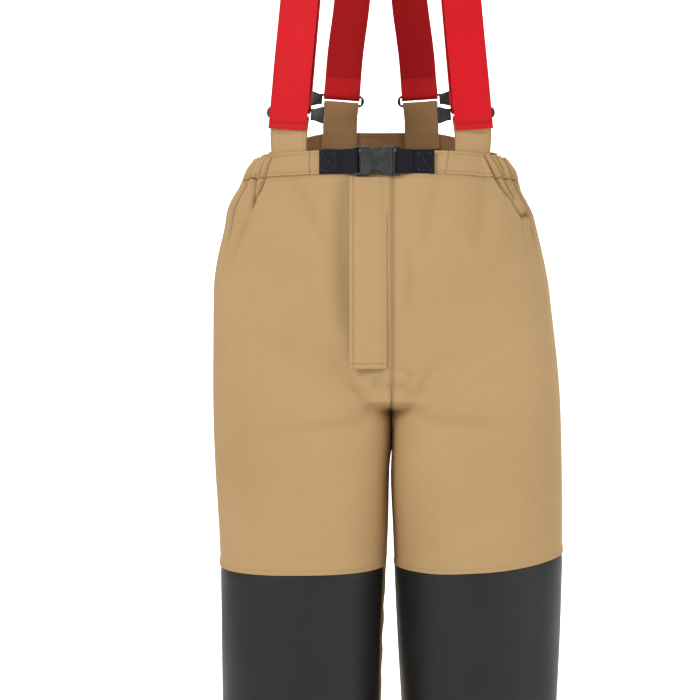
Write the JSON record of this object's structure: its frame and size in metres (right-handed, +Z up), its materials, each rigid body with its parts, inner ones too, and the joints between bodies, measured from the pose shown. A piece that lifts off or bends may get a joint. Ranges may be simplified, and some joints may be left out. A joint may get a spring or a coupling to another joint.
{
  "type": "bunker pants",
  "caption": "Firefighter bunker trousers with a high back waist, fly flap, side-release belt buckle, black lower leg panels and clip-on suspenders over both shoulders.",
  "frame": {"origin": "on the floor, midway between the two side edges and between the front and the back of the whole", "axes": "+Z up to the suspenders, -Y the way the wearer faces, +X the wearer's left"},
  "size_m": [0.4578, 0.2844, 1.51],
  "materials": {
    "shell_cloth": "matt brushed softshell cloth",
    "leg_panel": "black coated cloth with a soft sheen",
    "cuff_binding": "black grained leather binding",
    "reflective_tape": "lime tape with a silver stripe",
    "knee_foam": "grey closed-cell foam",
    "moisture_film": "thin coated film cloth",
    "quilted_liner": "quilted aramid felt",
    "elastic": "woven elastic",
    "touch_fastener": "hook and loop tape",
    "suspender_webbing": "red ribbed webbing",
    "cross_band_webbing": "black heavy webbing",
    "belt_webbing": "navy webbing",
    "black_plastic": "moulded acetal, fine satin",
    "adjuster_steel": "nickel-plated wire and plate"
  },
  "bodies": {
    "trousers": {"shell_front_left": "shell_cloth", "shell_back_left": "shell_cloth", "lower_leg_panel_left": "leg_panel", "cuff_left": "cuff_binding", "reflective_trim_left": "reflective_tape", "knee_pad_left": "knee_foam", "moisture_barrier_left": "moisture_film", "thermal_liner_left": "quilted_liner", "shell_front_right": "shell_cloth", "shell_back_right": "shell_cloth", "lower_leg_panel_right": "leg_panel", "cuff_right": "cuff_binding", "reflective_trim_right": "reflective_tape", "knee_pad_right": "knee_foam", "moisture_barrier_right": "moisture_film", "thermal_liner_right": "quilted_liner", "waistband_front_left": "shell_cloth", "waistband_side_left": "shell_cloth", "waist_elastic_left": "elastic", "waistband_front_right": "shell_cloth", "waistband_side_right": "shell_cloth", "waist_elastic_right": "elastic", "waistband_back": "shell_cloth", "fly_hook_strip": "touch_fastener", "fly_underlap": "shell_cloth", "suspender_tab_front_left": "shell_cloth", "suspender_tab_back_left": "shell_cloth", "suspender_strap_left": "suspender_webbing", "suspender_tab_front_right": "shell_cloth", "suspender_tab_back_right": "shell_cloth", "suspender_strap_right": "suspender_webbing", "suspender_cross_band": "cross_band_webbing", "buckle_insert": "black_plastic", "belt_webbing_left": "belt_webbing"},
    "fly_flap": {"fly_flap": "shell_cloth", "fly_loop_strip": "touch_fastener"},
    "buckle_housing": {"buckle_housing": "black_plastic", "belt_webbing_right": "belt_webbing"},
    "release_arm_upper": {"release_arm_upper": "black_plastic"},
    "release_arm_lower": {"release_arm_lower": "black_plastic"},
    "suspender_clip_front_left": {"suspender_clip_front_left": "black_plastic"},
    "suspender_clip_back_left": {"suspender_clip_back_left": "black_plastic"},
    "slide_adjuster_left": {"slide_adjuster_left": "adjuster_steel", "suspender_tail_left": "suspender_webbing"},
    "suspender_clip_front_right": {"suspender_clip_front_right": "black_plastic"},
    "suspender_clip_back_right": {"suspender_clip_back_right": "black_plastic"},
    "slide_adjuster_right": {"slide_adjuster_right": "adjuster_steel", "suspender_tail_right": "suspender_webbing"}
  },
  "joints": [
    {"name": "fly_flap_open", "type": "hinge", "parent": "trousers", "child": "fly_flap", "pos_m": [-0.00005, -0.14102, 0.923], "axis": [0, 0, 1], "range_deg": [0, 110]},
    {"name": "buckle_release", "type": "slide", "parent": "trousers", "child": "buckle_housing", "axis": [-1, 0, 0], "range_m": [0, 0.024], "deforming": ["release_arm_upper", "release_arm_lower", "belt_webbing_right"]},
    {"name": "release_arm_upper_press", "type": "hinge", "parent": "trousers", "child": "release_arm_upper", "pos_m": [0.00345, -0.13647, 1.0751], "axis": [0, -1, 0], "range_deg": [0, 8], "stiffness_Nm_per_rad": 0.02},
    {"name": "release_arm_lower_press", "type": "hinge", "parent": "trousers", "child": "release_arm_lower", "pos_m": [0.00345, -0.13647, 1.0489], "axis": [0, 1, 0], "range_deg": [0, 8], "stiffness_Nm_per_rad": 0.02},
    {"name": "suspender_clip_front_left_rock", "type": "hinge", "parent": "trousers", "child": "suspender_clip_front_left", "pos_m": [0.10659, -0.09265, 1.12105], "axis": [0.9705, 0.2258, 0.0849], "range_deg": [-6, 6]},
    {"name": "suspender_clip_back_left_rock", "type": "hinge", "parent": "trousers", "child": "suspender_clip_back_left", "pos_m": [0.04636, 0.09506, 1.16798], "axis": [0.9976, 0, 0.0698], "range_deg": [-6, 6]},
    {"name": "suspender_clip_front_right_rock", "type": "hinge", "parent": "trousers", "child": "suspender_clip_front_right", "pos_m": [-0.12368, -0.09265, 1.12105], "axis": [0.9705, -0.2258, -0.0849], "range_deg": [-6, 6]},
    {"name": "suspender_clip_back_right_rock", "type": "hinge", "parent": "trousers", "child": "suspender_clip_back_right", "pos_m": [-0.06345, 0.09506, 1.16798], "axis": [0.9976, 0, -0.0698], "range_deg": [-6, 6]},
    {"name": "slide_adjuster_left_slide", "type": "slide", "parent": "trousers", "child": "slide_adjuster_left", "axis": [-0.0872, 0, 0.9962], "range_m": [0, 0.06]},
    {"name": "slide_adjuster_right_slide", "type": "slide", "parent": "trousers", "child": "slide_adjuster_right", "axis": [0.0872, 0, 0.9962], "range_m": [0, 0.06]}
  ]
}
